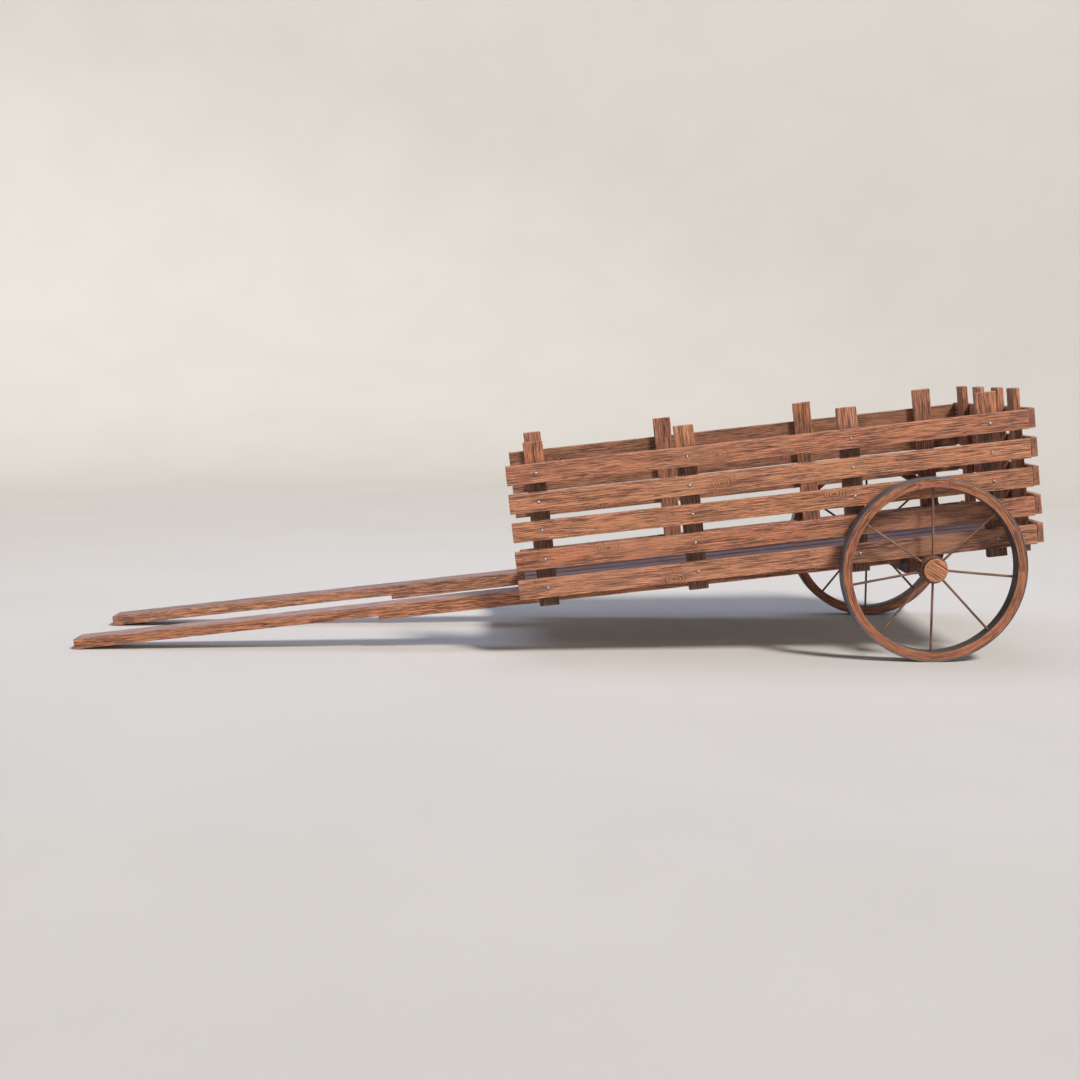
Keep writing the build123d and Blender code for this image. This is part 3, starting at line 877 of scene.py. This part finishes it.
# floor nails: flat heads driven level with the planks
NAIL_AROUND = 12
NAIL_LEVELS = [(0.0020, -0.012), (0.0044, -0.0015), (0.0046, 0.0001), (0.0040, 0.0006), (0.0018, 0.0008)]
plank_top = max(level_box(n)[1][2] for n in numbered("floor_plank_"))
verts, faces = [], []
for bearer in numbered("bearer_") + ["axle_bearer", "tail_bearer"]:
    low, high = level_box(bearer)
    for plank in numbered("floor_plank_"):
        p_low, p_high = level_box(plank)
        for shift in (-0.25, 0.25):
            x, y = (low[0] + high[0]) / 2, (p_low[1] + p_high[1]) / 2 + shift * (p_high[1] - p_low[1])
            base = len(verts)
            tip = noise.noise(Vector((x * 9, y * 9, 0.3)))
            for r, z in NAIL_LEVELS:
                for k in range(NAIL_AROUND):
                    t = 2 * math.pi * k / NAIL_AROUND
                    slant = 0.06 * tip * r * math.cos(t) if z > -0.002 else 0
                    verts.append((x + r * math.cos(t), y + r * math.sin(t), plank_top - 0.0004 + z + slant))
            faces += loft(len(NAIL_LEVELS), NAIL_AROUND, base)
            faces.append(tuple(base + k for k in range(NAIL_AROUND))[::-1])
            faces.append(tuple(base + (len(NAIL_LEVELS) - 1) * NAIL_AROUND + k for k in range(NAIL_AROUND)))
floor_nails = make_object("floor_nail_heads", verts, faces, dark_iron, "cart", {})
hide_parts("floor_nails")


# ------------------------------------------------------------------ floor, backdrop, lights and camera
KEY_ENERGY = 3.7
KEY_COLOR = (1.0, 0.93, 0.86)
KEY_RAY = Vector((-0.45, 0.50, -0.74)).normalized()
KEY_SPREAD = math.radians(13)
PAINT = (0.54, 0.54, 0.53)
FLOOR_RADIUS, WALL_TURN, WALL_TOP, FLOOR_HEIGHT = 12.0, 9.0, 13.0, -0.0005


def studio_part(name, rings, centre, closed, around=96):
    """Part of the studio's floor or wall, turned about a vertical line. Each ring is a radius, a height and
    how far the surface leans back towards the middle, in radians. Where it leans away from the key light
    it glows by as much as it misses, so that the studio is evenly pale. closed fills the first ring."""
    verts, glow = [], []
    for radius, height, lean in rings:
        for k in range(around):
            turn = 2 * math.pi * k / around
            out = Vector((math.cos(turn), math.sin(turn), 0))
            normal = Vector((0, 0, 1)) * math.cos(lean) - out * math.sin(lean)
            missed = -KEY_RAY.z - max(0.0, -KEY_RAY.dot(normal))
            glow.append(max(0.0, missed) * KEY_ENERGY / math.pi)
            verts.append(Vector((*centre, height)) + out * radius)
    faces = [face[::-1] for face in loft(len(rings), around)]
    if closed:
        faces.append(tuple(range(around)))
    mesh = bpy.data.meshes.new(name)
    mesh.from_pydata(verts, [], faces)
    mesh.polygons.foreach_set("use_smooth", [True] * len(mesh.polygons))
    set_attribute(mesh, "glow", glow)
    n = Nodes(name + "_paint")
    place = n.node("ShaderNodeTexCoord", output=3)
    n.put(n.shader.inputs["Emission Color"], (*shade(PAINT, *KEY_COLOR), 1))
    n.put(n.shader.inputs["Emission Strength"], n.attribute("glow", FACTOR))
    paint = n.mix(n.range(n.noise(place, 0.8, 3.0), 0.3, 0.7), PAINT, shade(PAINT, 1.03))
    mesh.materials.append(n.finish(paint, 0.9, specular=0.2))
    obj = bpy.data.objects.new(name, mesh)
    scene.collection.objects.link(obj)
    return obj


def studio():
    """A pale round floor that curves up into a wall, well clear of the cart and of every view."""
    low, high = cad_box
    centre = ((low[0] + high[0]) / 2, (low[1] + high[1]) / 2)
    studio_part("studio_floor", [(r, FLOOR_HEIGHT, 0.0) for r in (0.5, 4.0, 8.0, FLOOR_RADIUS)], centre, True)
    rings = [(FLOOR_RADIUS + WALL_TURN * math.sin(t), FLOOR_HEIGHT + WALL_TURN - WALL_TURN * math.cos(t), t)
             for t in np.linspace(0, math.pi / 2, 25)]
    rings.append((FLOOR_RADIUS + WALL_TURN, WALL_TOP, math.pi / 2))
    wall = studio_part("studio_wall", rings, centre, False)
    wall.visible_shadow = False


studio()


def area_light(name, place, target, size, power, color):
    light = bpy.data.lights.new(name, "AREA")
    light.shape = "RECTANGLE"
    light.size, light.size_y = size
    light.energy, light.color = power, color
    obj = bpy.data.objects.new(name, light)
    obj.location = place
    obj.rotation_euler = (Vector(target) - Vector(place)).to_track_quat("-Z", "Y").to_euler()
    scene.collection.objects.link(obj)


# a warm sun from above the camera's right, a cool area light over the load and a dim world
low, high = level_box("floor_plank_4")
load = LEVEL @ Vector((low + high) / 2)
sun = bpy.data.lights.new("key", "SUN")
sun.energy, sun.angle, sun.color = KEY_ENERGY, KEY_SPREAD, KEY_COLOR
key = bpy.data.objects.new("key", sun)
key.rotation_euler = KEY_RAY.to_track_quat("-Z", "Y").to_euler()
scene.collection.objects.link(key)
area_light("top", place=load + Vector((-0.6, 1.2, 5.5)), target=load + Vector((-0.6, 0, 0)), size=(7.0, 3.0),
           power=150, color=(0.66, 0.72, 1.0))
world = bpy.data.worlds.new("studio")
world.use_nodes = True
background = world.node_tree.nodes["Background"]
background.inputs["Color"].default_value = (0.74, 0.79, 0.90, 1)
background.inputs["Strength"].default_value = 0.13
scene.world = world
scene.view_settings.view_transform = "Standard"

# the photograph's viewing angle: place from the axle, then turned, tipped down and rolled
CAMERA_PLACE = Vector((-1.962, -7.832, 0.9455))
CAMERA_TURN, CAMERA_DOWN, CAMERA_ROLL = -0.411, 6.437, 0.1     # degrees
camera_data = bpy.data.cameras.new("camera")
camera_data.sensor_width = 36.0
camera_data.lens = 49.37
camera_data.clip_end = 100.0
camera = bpy.data.objects.new("camera", camera_data)
camera.matrix_world = (Matrix.Translation(axle + CAMERA_PLACE)
                       @ Matrix.Rotation(math.radians(CAMERA_TURN), 4, "Z")
                       @ Matrix.Rotation(math.radians(90 - CAMERA_DOWN), 4, "X")
                       @ Matrix.Rotation(math.radians(CAMERA_ROLL), 4, "Z"))
scene.collection.objects.link(camera)
scene.camera = camera

bpy.context.view_layer.update()
